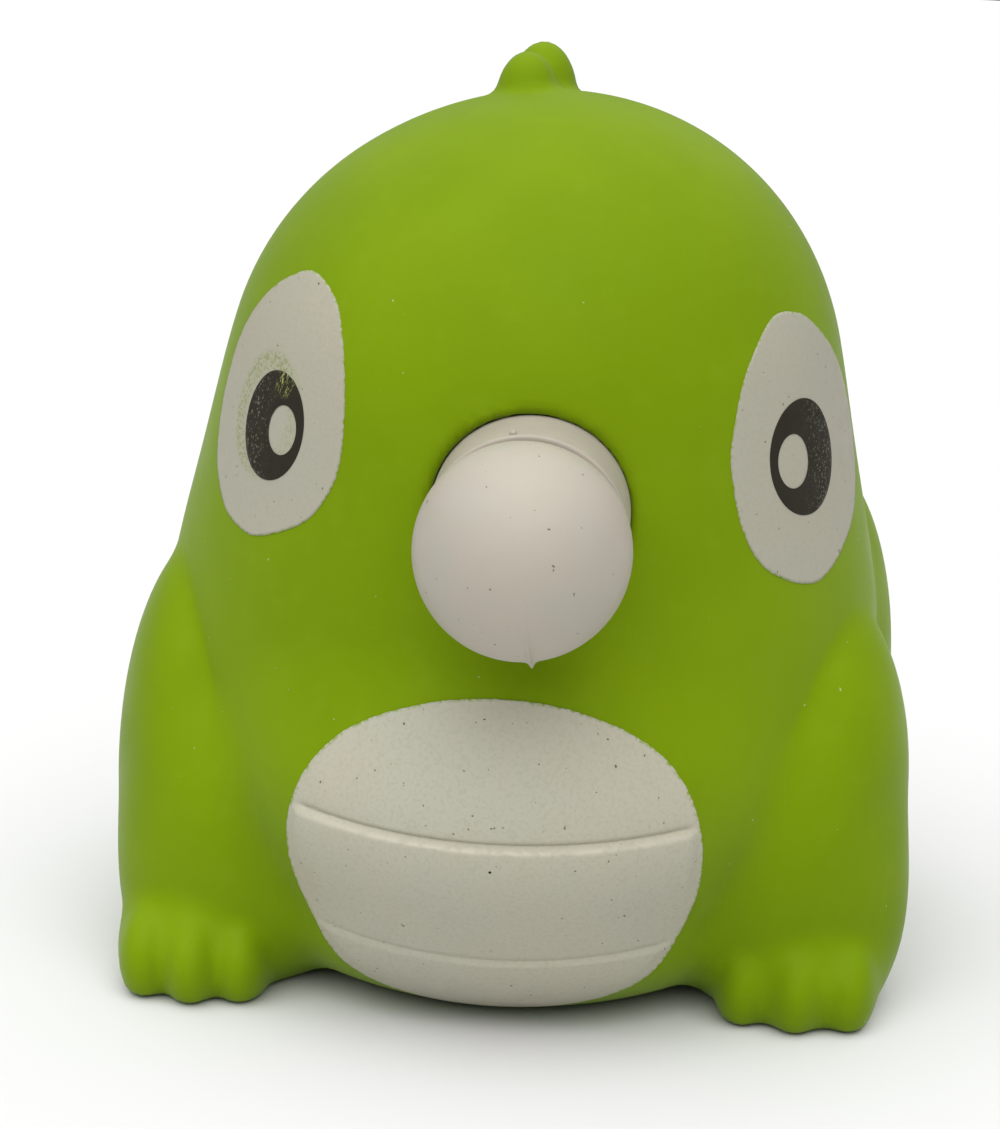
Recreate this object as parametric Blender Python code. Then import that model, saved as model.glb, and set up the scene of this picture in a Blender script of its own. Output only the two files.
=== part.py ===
"""Squeeze-and-pop dinosaur toy: a hollow soft vinyl body that blows a foam ball off the barrel in its mouth.

Frame: metres, +Z up. The toy stands on Z = 0 and faces -Y, so +X is its own left side.
"""

import math

import bmesh
import bpy
from mathutils import Matrix, Vector
from mathutils.bvhtree import BVHTree

MM = 0.001

# Driving dimensions, in millimetres.
WALL = 2.6                # vinyl wall
GAP = 0.3                 # clearance between neighbouring pieces
FILM = 0.3                # thickness of a printed paint film
BALL_RADIUS = 13.5
BARREL_RADIUS = 12.2      # outside
BARREL_BORE = 10.4        # inside radius
BARREL_SEAT = 10.9        # radius of the chamfered mouth that the ball sits on
BARREL_LIP = 5.3          # how far the barrel stands out of the face
BARREL_REAR = 22.0        # how far it reaches in behind the face
BOSS_RADIUS = 16.5        # thickened vinyl around the mouth hole
BOSS_DEPTH = 10.0
FLANGE_RADIUS = 15.5
FLANGE_THICKNESS = 2.0
MOUTH = Vector((3.2, -39.5, 72.3))    # centre of the mouth hole, in the skin of the face
MOUTH_DROOP = math.radians(9)         # the barrel points this far below the horizontal
BELLY_CENTRE = Vector((0.5, 0, 27.0))
BELLY_HALF = Vector((26.6, 0, 20.5))  # half width and half height of the flexing belly wall
PRISM_FRONT = -75                     # the belly opening is cut along Y between these
PRISM_REAR = -16
PATCH_MARGIN = 1.4                    # the paint stops this far inside the belly wall's edge
VOXEL = 1.6               # grid of the fused skin
OUTER_FACES = 4800        # triangles of the fused skin, and of its hollow
HOLLOW_FACES = 1500
SMOOTH_STEPS = 3
TURN_STEPS = 40                       # sides of every turned piece

# Outer form: name, centre, radii and whether it repeats on the other side.
FORM = (
    ("head", (0.8, 2, 81.5), (43, 41, 39), False),
    ("neck", (0.4, 3, 67), (44.8, 43.2, 40), False),
    ("torso", (0, 4, 52), (46.2, 44.2, 44), False),
    ("hips", (0, 4, 30), (43, 42.5, 28), False),
    ("seat", (0, 0, 14.5), (39, 38, 12.5), False),
    ("belly", (0, -12.5, 25), (34.5, 35.2, 24), False),
    ("front_leg", (41.0, -10, 32), (13.8, 17, 31), True),
    ("haunch", (38.4, 27, 36), (14.6, 21, 31), True),
)
# Solid vinyl lumps with no hollow behind them.
LUMPS = (
    ("front_shin", (40.8, -14, 14), (12.4, 15, 21), True),
    ("front_foot", (40.5, -20, 5.5), (11.3, 12, 8.5), True),
    ("hind_foot", (40, 34, 5.5), (12, 14, 8.5), True),
    ("tail_root", (0, 44, 20), (17, 14, 15), False),
    ("tail_tip", (0, 56.9, 13), (9, 10, 9), False),
)
TOE_RADII = (4.3, 7.0, 6.2)
TOE_SPREAD = 7.0
TOE_FAN = 0.25                        # how far the outer toes sit back, as a share of the spread
FRONT_TOE = (40.5, -27.0, 4.6)        # middle toe of a front foot
HIND_TOE = (40.0, 24.0, 4.6)          # middle toe of a hind foot
CREST_SPIKES = (                      # centre and radii: front lobe, then the row down the back
    ((0.0, 4, 119.0), (5.4, 4.0, 5.2)),
    ((0.5, 10, 120.0), (4.8, 5.2, 8.0)),
    ((0.5, 31, 110.5), (4.4, 6.5, 7.5)),
    ((0.2, 43.5, 92), (4.2, 6.5, 7.5)),
    ((0, 48, 71), (4.0, 6.0, 7.0)),
    ((0, 49, 50), (3.8, 5.5, 6.0)),
)

# Eye: side, bearing from straight ahead, centre height.
EYES = (
    ("left", math.radians(57), 79.0),
    ("right", math.radians(-47.5), 81.5),
)
EYE_HALF = (13.4, 17.8)               # half width and half height of the white oval
RING_HALF = (7.0, 7.6)                # black ring, outside
PUPIL_HALF = (3.2, 3.5)               # hole in the ring
RING_SHIFT = (0.4, -1.6)              # ring centre against the oval's centre
FILM_LIFT = GAP + 0.1                 # a film's underside above the vinyl
RING_LIFT = FILM_LIFT + FILM + GAP + 0.1
THROW = 80                            # how far out the rays start that lay a film on the skin


def clear_scene():
    for obj in list(bpy.data.objects):
        bpy.data.objects.remove(obj, do_unlink=True)


def material(name, colour, roughness, metallic=0.0):
    made = bpy.data.materials.new(name)
    made.use_nodes = True
    shader = made.node_tree.nodes["Principled BSDF"]
    shader.inputs["Base Color"].default_value = (*colour, 1.0)
    shader.inputs["Roughness"].default_value = roughness
    shader.inputs["Metallic"].default_value = metallic
    return made


def add_object(name, mesh, finish=None):
    obj = bpy.data.objects.new(name, mesh)
    bpy.context.scene.collection.objects.link(obj)
    if finish:
        mesh.materials.clear()
        mesh.materials.append(finish)
    return obj


def guide(obj):
    """Marks an object as a cutter or guide, which is no part of the toy."""
    obj.hide_render = True
    obj.display_type = "WIRE"
    return obj


def baked_mesh(obj, name):
    """The object's mesh with its modifiers applied, in world space."""
    bpy.context.view_layer.update()
    depsgraph = bpy.context.evaluated_depsgraph_get()
    mesh = bpy.data.meshes.new_from_object(obj.evaluated_get(depsgraph), depsgraph=depsgraph)
    mesh.name = name
    mesh.transform(obj.matrix_world)
    return mesh


def mesh_from(bm, name):
    bmesh.ops.recalc_face_normals(bm, faces=bm.faces)
    mesh = bpy.data.meshes.new(name)
    bm.to_mesh(mesh)
    bm.free()
    return mesh


def add_ellipsoid(bm, centre, radii):
    matrix = Matrix.Translation(Vector(centre) * MM) @ Matrix.Diagonal((*(Vector(radii) * MM), 1.0))
    bmesh.ops.create_icosphere(bm, subdivisions=4, radius=1.0, matrix=matrix)


def add_form(bm, pieces, inset=0.0):
    for _, centre, radii, repeats in pieces:
        inner = [radius - inset for radius in radii]
        add_ellipsoid(bm, centre, inner)
        if repeats:
            add_ellipsoid(bm, (-centre[0], centre[1], centre[2]), inner)


def add_toes(bm, middle):
    """Three toes, pointing forward, on each foot of a pair."""
    for side in (-1, 1):
        for step in (-1, 0, 1):
            x = side * (middle[0] + step * TOE_SPREAD)
            y = middle[1] + TOE_FAN * TOE_SPREAD * abs(step)
            add_ellipsoid(bm, (x, y, middle[2]), TOE_RADII)


def fused(name, bm, target_faces):
    """One skin around overlapping forms: voxel remesh, a light smooth, then fewer triangles."""
    raw = add_object(name + "_raw", mesh_from(bm, name + "_raw"))
    remesh = raw.modifiers.new("remesh", "REMESH")
    remesh.mode = "VOXEL"
    remesh.voxel_size = VOXEL * MM
    remesh.use_remove_disconnected = False
    smooth = raw.modifiers.new("smooth", "SMOOTH")
    smooth.factor = 0.5
    smooth.iterations = SMOOTH_STEPS
    fine = baked_mesh(raw, name + "_fine")
    raw.modifiers.clear()
    raw.data = fine
    thin = raw.modifiers.new("thin", "DECIMATE")
    thin.ratio = target_faces / sum(len(face.vertices) - 2 for face in fine.polygons)
    thin.use_collapse_triangulate = True
    mesh = baked_mesh(raw, name)
    bpy.data.objects.remove(raw, do_unlink=True)
    return mesh


def boolean(obj, operation, cutter):
    cut = obj.modifiers.new(operation.lower() + "_" + cutter.name, "BOOLEAN")
    cut.operation = operation
    cut.solver = "EXACT"
    cut.object = cutter
    return cut


def ground_block():
    """Everything below the floor, to cut the soles flat."""
    bm = bmesh.new()
    size = 200 * MM
    matrix = Matrix.Translation((0, 0, -size / 2)) @ Matrix.Diagonal((size, size, size, 1))
    bmesh.ops.create_cube(bm, size=1.0, matrix=matrix)
    return guide(add_object("ground_block", mesh_from(bm, "ground_block")))


def mouth_matrix():
    """Places +Z of a turned piece along the barrel's axis, pointing out of the mouth."""
    return Matrix.Translation(MOUTH * MM) @ Matrix.Rotation(math.pi / 2 + MOUTH_DROOP, 4, "X")


def turned(name, profile, matrix, closed):
    """Revolves (radius, height) points about +Z. A closed profile makes a tube, an open one is capped."""
    bm = bmesh.new()
    rings = []
    for radius, height in profile:
        ring = []
        for step in range(TURN_STEPS):
            angle = math.tau * step / TURN_STEPS
            point = Vector((radius * math.cos(angle), radius * math.sin(angle), height)) * MM
            ring.append(bm.verts.new(matrix @ point))
        rings.append(ring)
    pairs = list(zip(rings, rings[1:]))
    if closed:
        pairs.append((rings[-1], rings[0]))
    for lower, upper in pairs:
        for step in range(TURN_STEPS):
            after = (step + 1) % TURN_STEPS
            bm.faces.new((lower[step], lower[after], upper[after], upper[step]))
    if not closed:
        bm.faces.new(rings[0])
        bm.faces.new(rings[-1])
    return mesh_from(bm, name)


def mouth_cylinder(name, radius, rear, front):
    mesh = turned(name, ((radius, -rear), (radius, front)), mouth_matrix(), closed=False)
    return guide(add_object(name, mesh))


def belly_prism(name, margin):
    """An oval prism along Y through the front wall only."""
    bm = bmesh.new()
    front = []
    rear = []
    for step in range(TURN_STEPS):
        angle = math.tau * step / TURN_STEPS
        x = BELLY_CENTRE.x + (BELLY_HALF.x + margin) * math.cos(angle)
        z = BELLY_CENTRE.z + (BELLY_HALF.z + margin) * math.sin(angle)
        front.append(bm.verts.new(Vector((x, PRISM_FRONT, z)) * MM))
        rear.append(bm.verts.new(Vector((x, PRISM_REAR, z)) * MM))
    for step in range(TURN_STEPS):
        after = (step + 1) % TURN_STEPS
        bm.faces.new((front[step], front[after], rear[after], rear[step]))
    bm.faces.new(front)
    bm.faces.new(rear)
    return guide(add_object(name, mesh_from(bm, name)))


def outer_form():
    bm = bmesh.new()
    add_form(bm, FORM)
    add_form(bm, LUMPS)
    add_toes(bm, FRONT_TOE)
    add_toes(bm, HIND_TOE)
    for centre, radii in CREST_SPIKES:
        add_ellipsoid(bm, centre, radii)
    return guide(add_object("outer_form", fused("outer_form", bm, OUTER_FACES)))


def hollow_form():
    bm = bmesh.new()
    add_form(bm, FORM, inset=WALL)
    obj = guide(add_object("hollow_form", fused("hollow_form", bm, HOLLOW_FACES)))
    boss = mouth_cylinder("mouth_boss", BOSS_RADIUS, BOSS_DEPTH, 30)
    boolean(obj, "DIFFERENCE", boss)
    return obj


def body_shell(outer, hollow, ground, finish):
    """The vinyl moulding: outer form less the hollow, the mouth hole and the belly opening."""
    obj = add_object("body_shell", outer.data.copy(), finish)
    boolean(obj, "DIFFERENCE", ground)
    boolean(obj, "DIFFERENCE", hollow)
    boolean(obj, "DIFFERENCE", mouth_cylinder("mouth_hole", BARREL_RADIUS + GAP, 20, 30))
    boolean(obj, "DIFFERENCE", belly_prism("belly_opening", GAP + 0.1))
    return obj


def belly_wall(outer, hollow, finish):
    """The stretch of the same wall that is pressed in when the toy is squeezed."""
    obj = add_object("belly_wall", outer.data.copy(), finish)
    boolean(obj, "INTERSECT", belly_prism("belly_blank", 0.0))
    boolean(obj, "DIFFERENCE", hollow)
    return obj


class Surface:
    """Finds points and smooth normals on a mesh."""

    def __init__(self, mesh):
        self.mesh = mesh
        self.tree = BVHTree.FromPolygons(
            [vertex.co.copy() for vertex in mesh.vertices], [tuple(face.vertices) for face in mesh.polygons]
        )

    def hit(self, origin, direction):
        point, _, index, _ = self.tree.ray_cast(origin, direction)
        normal = Vector((0, 0, 0))
        for corner in self.mesh.polygons[index].vertices:
            vertex = self.mesh.vertices[corner]
            normal += vertex.normal / ((vertex.co - point).length + 0.5 * MM)
        return point, normal.normalized()


def film(name, surface, frame, outline, inner_outline, lift, finish, rings=4, steps=28):
    """A paint film lying on the surface.

    frame is (centre, across, up, towards): its points are thrown from centre + towards back along -towards.
    outline and inner_outline give (across, up) for an angle; inner_outline None fills the middle.
    """
    centre, across, up, towards = frame
    bm = bmesh.new()
    layers = []
    for height in (lift, lift + FILM):
        rows = []
        first = 0 if inner_outline else 1
        for ring in range(first, rings + 1):
            share = ring / rings
            row = []
            for step in range(steps):
                angle = math.tau * step / steps
                far = Vector(outline(angle))
                near = Vector(inner_outline(angle)) if inner_outline else Vector((0, 0))
                flat = near.lerp(far, share)
                start = centre + (across * flat.x + up * flat.y + towards * THROW) * MM
                point, normal = surface.hit(start, -towards)
                row.append(bm.verts.new(point + normal * height * MM))
            rows.append(row)
        middle = None
        if not inner_outline:
            point, normal = surface.hit(centre + towards * THROW * MM, -towards)
            middle = bm.verts.new(point + normal * height * MM)
        layers.append((rows, middle))
    for rows, middle in layers:
        for inner, outer in zip(rows, rows[1:]):
            for step in range(steps):
                after = (step + 1) % steps
                bm.faces.new((inner[step], inner[after], outer[after], outer[step]))
        if middle:
            for step in range(steps):
                bm.faces.new((middle, rows[0][step], rows[0][(step + 1) % steps]))
    (low_rows, _), (high_rows, _) = layers
    edges = [(low_rows[-1], high_rows[-1])]
    if inner_outline:
        edges.append((low_rows[0], high_rows[0]))
    for low, high in edges:
        for step in range(steps):
            after = (step + 1) % steps
            bm.faces.new((low[step], low[after], high[after], high[step]))
    bmesh.ops.triangulate(bm, faces=bm.faces)
    obj = add_object(name, mesh_from(bm, name), finish)
    return obj


def oval(half_width, half_height, shift=(0.0, 0.0)):
    return lambda angle: (shift[0] + half_width * math.cos(angle), shift[1] + half_height * math.sin(angle))


def belly_patch(surface, finish):
    frame = (BELLY_CENTRE * MM, Vector((1, 0, 0)), Vector((0, 0, 1)), Vector((0, -1, 0)))
    outline = oval(BELLY_HALF.x - PATCH_MARGIN, BELLY_HALF.z - PATCH_MARGIN)
    film("belly_patch", surface, frame, outline, None, FILM_LIFT, finish, rings=6, steps=32)


def eyes(surface, white, black):
    for side, bearing, height in EYES:
        towards = Vector((math.sin(bearing), -math.cos(bearing), 0))
        across = Vector((math.cos(bearing), math.sin(bearing), 0))
        centre = Vector((0, 0, height * MM))
        frame = (centre, across, Vector((0, 0, 1)), towards)
        film("eye_white_" + side, surface, frame, oval(*EYE_HALF), None, FILM_LIFT, white)
        ring = oval(*RING_HALF, RING_SHIFT)
        hole = oval(*PUPIL_HALF, RING_SHIFT)
        film("eye_ring_" + side, surface, frame, ring, hole, RING_LIFT, black, rings=2, steps=24)


def mouth_barrel(finish):
    """Tube pressed through the mouth hole, with a flange behind the boss and a chamfered seat for the ball."""
    flange_front = -BOSS_DEPTH - GAP
    flange_rear = flange_front - FLANGE_THICKNESS
    profile = (
        (BARREL_RADIUS - 0.5, BARREL_LIP),
        (BARREL_RADIUS, BARREL_LIP - 0.5),
        (BARREL_RADIUS, flange_front),
        (FLANGE_RADIUS, flange_front),
        (FLANGE_RADIUS, flange_rear),
        (BARREL_RADIUS, flange_rear),
        (BARREL_RADIUS, -BARREL_REAR),
        (BARREL_BORE, -BARREL_REAR),
        (BARREL_BORE, BARREL_LIP - 1.3),
        (BARREL_SEAT, BARREL_LIP),
    )
    add_object("mouth_barrel", turned("mouth_barrel", profile, mouth_matrix(), closed=True), finish)


def ball(finish):
    """The foam ball, its own origin on the barrel's axis, resting GAP clear of the seat."""
    reach = BALL_RADIUS + GAP
    ahead = BARREL_LIP + math.sqrt(reach ** 2 - BARREL_SEAT ** 2)
    bm = bmesh.new()
    bmesh.ops.create_icosphere(bm, subdivisions=4, radius=BALL_RADIUS * MM)
    obj = add_object("ball", mesh_from(bm, "ball"), finish)
    obj.matrix_world = mouth_matrix() @ Matrix.Translation((0, 0, ahead * MM))
    obj.data.shade_smooth()


def main():
    clear_scene()
    green = material("green_vinyl", (0.20, 0.33, 0.010), 0.55)
    grey_paint = material("grey_white_paint", (0.52, 0.51, 0.43), 0.6)
    black_paint = material("black_paint", (0.03, 0.03, 0.025), 0.55)
    white_plastic = material("white_plastic", (0.58, 0.56, 0.47), 0.4)
    white_foam = material("white_foam", (0.60, 0.56, 0.48), 0.6)

    ground = ground_block()
    outer = outer_form()
    hollow = hollow_form()
    body_shell(outer, hollow, ground, green)
    belly_wall(outer, hollow, green)
    skin = Surface(outer.data)
    belly_patch(skin, grey_paint)
    eyes(skin, grey_paint, black_paint)
    mouth_barrel(white_plastic)
    ball(white_foam)


main()
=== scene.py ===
"""Squeeze-and-pop dinosaur toy: the finished surfaces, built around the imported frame.

The vinyl skin is one smooth shape, worked out as a field of rounded forms and meshed on a grid.
The printed paints are thin films laid on that same field, and the barrel and ball are turned pieces.
Lengths here are millimetres. The frame, the finished meshes and the materials' textures are in metres.
"""

import math

import bpy
import numpy as np
from mathutils import Matrix, Vector


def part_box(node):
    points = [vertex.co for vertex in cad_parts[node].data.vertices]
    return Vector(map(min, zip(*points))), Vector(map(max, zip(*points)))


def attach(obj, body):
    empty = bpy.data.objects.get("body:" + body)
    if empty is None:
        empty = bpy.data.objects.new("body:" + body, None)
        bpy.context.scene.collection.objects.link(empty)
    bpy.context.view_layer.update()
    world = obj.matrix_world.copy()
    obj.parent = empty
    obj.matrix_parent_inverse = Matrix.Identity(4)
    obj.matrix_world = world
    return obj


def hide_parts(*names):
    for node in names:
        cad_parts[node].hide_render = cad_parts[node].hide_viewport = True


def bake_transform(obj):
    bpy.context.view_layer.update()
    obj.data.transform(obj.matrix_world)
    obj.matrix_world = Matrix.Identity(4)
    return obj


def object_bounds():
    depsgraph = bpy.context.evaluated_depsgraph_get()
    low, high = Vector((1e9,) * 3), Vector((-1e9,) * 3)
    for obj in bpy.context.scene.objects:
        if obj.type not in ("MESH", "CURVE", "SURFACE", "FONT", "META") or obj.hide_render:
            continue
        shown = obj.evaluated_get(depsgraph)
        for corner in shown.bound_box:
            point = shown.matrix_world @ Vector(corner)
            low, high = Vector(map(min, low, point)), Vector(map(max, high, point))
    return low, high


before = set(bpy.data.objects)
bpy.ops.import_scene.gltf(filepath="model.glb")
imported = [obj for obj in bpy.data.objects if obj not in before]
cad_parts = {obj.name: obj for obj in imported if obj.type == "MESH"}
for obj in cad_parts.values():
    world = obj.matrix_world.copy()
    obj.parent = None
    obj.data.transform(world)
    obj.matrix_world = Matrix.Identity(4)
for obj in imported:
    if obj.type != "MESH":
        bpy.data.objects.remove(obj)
cad_low, cad_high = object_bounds()

MM = 0.001


def in_mm(point):
    return np.array(point, float) / MM


# Readings from the frame.
ball_low, ball_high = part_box("ball")
BALL_CENTRE = in_mm((ball_low + ball_high) / 2)
BALL_RADIUS = in_mm(ball_high - ball_low)[2] / 2

# The collar points at the ball, a little less steeply than the ball's path.
COLLAR_DROOP = math.radians(5.2)
COLLAR_TURN = math.radians(0.5)
COLLAR_AXIS = np.array((
    math.sin(COLLAR_TURN) * math.cos(COLLAR_DROOP),
    -math.cos(COLLAR_TURN) * math.cos(COLLAR_DROOP),
    -math.sin(COLLAR_DROOP),
))
BALL_AHEAD = 13.76                    # ball centre, ahead of the mouth hole
MOUTH = BALL_CENTRE - COLLAR_AXIS * BALL_AHEAD

# ---------------------------------------------------------------- shape of the skin

# Rounded forms: name, centre, radii, and width of the soft joint with the forms before it.
FORMS = (
    ("head", (0.5, 2, 79.5), (42.8, 41, 41.6), 0),
    ("crown", (4.4, 2, 86.2), (35.8, 36, 34.85), 4),
    ("torso", (0.15, 4, 49.3), (49.7, 44.2, 44), 12),
    ("hips", (0, 4, 30), (43, 42.5, 28), 12),
    ("seat", (0, 0, 11.3), (39.1, 37, 14.5), 8),
    ("belly", (0, -12.5, 30.2), (35.2, 35, 22.9), 10),
    ("front_leg_left", (40.2, -6.6, 29.2), (15, 18.3, 29.1), 1.3),
    ("front_leg_right", (-42.5, -4, 26.8), (12.75, 20.8, 33), 1.2),
    ("front_shin_left", (36.2, -13.6, 21.3), (14.4, 13.9, 23.8), 4),
    ("front_shin_right", (-34.8, -14.8, 20.1), (15.7, 15, 23.2), 4),
    ("haunch_left", (39.8, 27, 37.1), (14, 21, 32.5), 4),
    ("haunch_right", (-38, 27, 36), (14, 21, 31), 4),
    ("ankle_left", (44.1, -11, 14.1), (11.8, 12, 19.4), 4),
    ("ankle_right", (-42.5, -13, 12.6), (10.3, 13, 19.1), 4),
    ("front_foot_left", (41.3, -18.2, 5.5), (11.2, 10.0, 8.5), 3),
    ("front_foot_right", (-40.7, -21.6, 5.5), (11.2, 10.0, 8.5), 3),
    ("hind_foot_left", (40, 34, 5.5), (12, 14, 8.5), 5),
    ("hind_foot_right", (-40, 34, 5.5), (12, 14, 8.5), 5),
    ("tail_root", (0, 44, 20), (17, 14, 15), 8),
    ("tail_tip", (0, 56.9, 13), (9, 10, 9), 8),
)
TOE_RADII = (4.05, 7.0, 6.8)
TOE_SPREADS = (7.0, 6.4, 7.0, 7.0)    # middle toe to outer toe, foot by foot
TOE_FAN = 0.25                        # how far the outer toes sit back, as a share of the spread
TOE_JOINT = 1.2
MIDDLE_TOES = ((40.9, -22.9, 5.0), (-40.6, -26.8, 5.0), (40.0, 24.0, 5.0), (-40.0, 24.0, 5.0))
SPIKES = (                            # the two lobes of the crest, then the row down the back
    ((-2.4, 4, 120.0), (4.3, 4.6, 6.9)),
    ((-0.6, 10, 120.0), (4.85, 5.2, 8.0)),
    ((0.5, 31, 110.5), (4.2, 6.5, 7.5)),
    ((0.2, 43.5, 92), (4.0, 6.5, 7.5)),
    ((0.0, 48, 71), (3.8, 6.0, 7.0)),
    ((0.0, 49, 50), (3.6, 5.5, 6.0)),
)
SPIKE_JOINT = 1.6
LOBE_JOINT = 0.7                      # the two lobes of the crest meet in a crease
SOLE_ROUNDING = 1.2
PIT_RADIUS = 12.68                    # hole in the vinyl around the barrel
PIT_SHIFT = -0.14                     # the hole sits a little to the toy's right of the barrel
PIT_DEPTH = 24.0
PIT_ROUNDING = 1.5


def ellipsoid(points, centre, radii):
    """Signed distance, near enough, from each point to an ellipsoid."""
    offset = points - np.array(centre, float)
    radii = np.array(radii, float)
    scaled = np.linalg.norm(offset / radii, axis=-1)
    slope = np.linalg.norm(offset / radii ** 2, axis=-1)
    return scaled * (scaled - 1) / np.maximum(slope, 1e-9)


def soft_min(a, b, width):
    if not width:
        return np.minimum(a, b)
    blend = np.maximum(width - np.abs(a - b), 0) / width
    return np.minimum(a, b) - blend ** 2 * width / 4


def soft_max(a, b, width):
    return -soft_min(-a, -b, width)


def ramp(values, start, end):
    """Smoothstep from 0 at start to 1 at end."""
    t = np.clip((values - start) / (end - start), 0, 1)
    return t * t * (3 - 2 * t)


def body_forms(points):
    distance = None
    for _, centre, radii, joint in FORMS:
        part = ellipsoid(points, centre, radii)
        distance = part if distance is None else soft_min(distance, part, joint)
    for middle, spread in zip(MIDDLE_TOES, TOE_SPREADS):
        for side in (-1, 0, 1):
            centre = (middle[0] + side * spread, middle[1] + abs(side) * spread * TOE_FAN, middle[2])
            distance = soft_min(distance, ellipsoid(points, centre, TOE_RADII), TOE_JOINT)
    spikes = None
    for centre, radii in SPIKES:
        spike = ellipsoid(points, centre, radii)
        spikes = spike if spikes is None else soft_min(spikes, spike, LOBE_JOINT)
    distance = soft_min(distance, spikes, SPIKE_JOINT)
    return soft_max(distance, -points[..., 2], SOLE_ROUNDING)


def mouth_pit(points):
    """Distance to the round pit behind the mouth hole: negative inside it."""
    offset = points - MOUTH - np.array((PIT_SHIFT, 0, 0))
    along = offset @ COLLAR_AXIS
    radius = np.linalg.norm(offset - along[..., None] * COLLAR_AXIS, axis=-1)
    return np.maximum(radius - PIT_RADIUS, -along - PIT_DEPTH)


# Moulded folds across the belly: height in the middle, rise at the ends, how far the roll below stands
# out, how far down it fades, and the depth of the groove along its top.
FOLDS = (
    (30.6, 1.1, 1.10, 13.0, 0.30),
    (12.4, 2.0, 0.42, 9.0, 0.16),
)
FOLD_EDGE = 0.70                      # height over which a roll steps out
GROOVE_HALF = 0.28
LIP_DROP = 0.55                       # the upper fold's lip, which carries a painted highlight and rubbed paint, lies this far below its top
LIP_HALF = 0.4
FOLD_FADE = 0.09                      # how far inside the paint's edge, in radians, a fold reaches full depth
BELLY_MIDDLE = np.array((0.6, -13.0, 27.5))
BELLY_HALF_WIDTH = 27.3


def belly_folds(points):
    """How far the folds move the skin outwards."""
    across = (points[..., 0] - BELLY_MIDDLE[0]) / BELLY_HALF_WIDTH
    relief = np.zeros(across.shape)
    for top, rise, proud, drop, groove in FOLDS:
        height = points[..., 2] - rise * across ** 2
        roll = ramp(height, top, top - FOLD_EDGE) * ramp(height, top - drop, top - FOLD_EDGE)
        line = np.exp(-((height - top - GROOVE_HALF * 0.6) / GROOVE_HALF) ** 2)
        relief += proud * roll - groove * line
    return relief * ramp(belly_depth(points), 0.0, FOLD_FADE)


def fold_lip(points):
    """1 along the lip of the upper fold, where the paint gets its painted highlight and rubbed paint, 0 away
    from it.
    """
    across = (points[..., 0] - BELLY_MIDDLE[0]) / BELLY_HALF_WIDTH
    top, rise = FOLDS[0][:2]
    below = top - LIP_DROP - (points[..., 2] - rise * across ** 2)
    return np.exp(-(below / LIP_HALF) ** 2) * np.clip(1 - across ** 2, 0, 1)


def skin_field(points):
    """The vinyl's outer surface, without the folds, which the belly paint carries."""
    return soft_max(body_forms(points), -mouth_pit(points), PIT_ROUNDING)


def folded_field(points):
    return skin_field(points) - belly_folds(points)


# ---------------------------------------------------------------- meshing

SKIN_STEP = 1.0    # grid of the skin
SLOPE_STEP = 0.15                     # spacing used to read a field's slope
SETTLE_ROUNDS = 3
MARCH_ROUNDS = 60
MARCH_CARE = 0.85                     # share of the distance that each round walks


def slope(field, points):
    """Unit direction in which the field grows fastest."""
    columns = []
    for axis in range(3):
        shift = np.zeros(3)
        shift[axis] = SLOPE_STEP
        columns.append(field(points + shift) - field(points - shift))
    found = np.stack(columns, -1)
    return found / np.maximum(np.linalg.norm(found, axis=-1, keepdims=True), 1e-9)


def settle(field, points):
    """Moves the points onto the field's zero surface, each along its own slope."""
    for _ in range(SETTLE_ROUNDS):
        value = field(points)
        points = points - slope(field, points) * np.clip(value, -SKIN_STEP, SKIN_STEP)[..., None]
    return points


def grid_values(field, axes):
    values = np.empty([len(axis) for axis in axes])
    across, deep = np.meshgrid(axes[1], axes[2], indexing="ij")
    for i, x in enumerate(axes[0]):
        values[i] = field(np.stack([np.full(across.shape, x), across, deep], -1))
    return values


def net_vertices(values, axes):
    """One vertex for each grid cell that the surface crosses, and each cell's vertex number."""
    corners = [(i, j, k) for i in (0, 1) for j in (0, 1) for k in (0, 1)]
    nx, ny, nz = [n - 1 for n in values.shape]
    inside = values < 0
    count = sum(inside[i:i + nx, j:j + ny, k:k + nz].astype(np.int8) for i, j, k in corners)
    cells = np.argwhere((count > 0) & (count < 8))
    total = np.zeros((len(cells), 3))
    hits = np.zeros(len(cells))
    for start in corners:
        for axis in range(3):
            if start[axis]:
                continue
            end = list(start)
            end[axis] = 1
            a = values[tuple((cells + start).T)]
            b = values[tuple((cells + end).T)]
            crossed = (a < 0) != (b < 0)
            place = np.repeat(np.array(start, float)[None], len(cells), 0)
            place[:, axis] = np.where(crossed, a / np.where(crossed, a - b, 1), 0)
            total += place * crossed[:, None]
            hits += crossed
    number = np.full((nx, ny, nz), -1, np.int64)
    number[tuple(cells.T)] = np.arange(len(cells))
    low = np.array([axis[0] for axis in axes])
    step = axes[0][1] - axes[0][0]
    return low + (cells + total / hits[:, None]) * step, number


def net_faces(values, number):
    """A four-sided face across each grid edge that the surface crosses, facing outwards."""
    inside = values < 0
    faces = []
    for axis in range(3):
        order = [axis, (axis + 1) % 3, (axis + 2) % 3]
        turned = inside.transpose(order)
        cells = number.transpose(order)
        a = turned[:-1, 1:-1, 1:-1]
        b = turned[1:, 1:-1, 1:-1]
        for flag, flip in ((a & ~b, False), (~a & b, True)):
            i, j, k = np.nonzero(flag)
            ring = [cells[i, j, k], cells[i, j + 1, k], cells[i, j + 1, k + 1], cells[i, j, k + 1]]
            faces.append(np.stack(ring[::-1] if flip else ring, -1))
    return np.concatenate(faces)


def ring_faces(count, spokes, closed=False):
    """Four-sided faces between neighbouring rings of points; closed joins the last ring to the first."""
    number = np.arange(count * spokes).reshape(count, spokes)
    here = number if closed else number[:-1]
    there = np.roll(number, -1, 0) if closed else number[1:]
    return np.stack([here, there, np.roll(there, -1, 1), np.roll(here, -1, 1)], -1).reshape(-1, 4)


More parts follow.
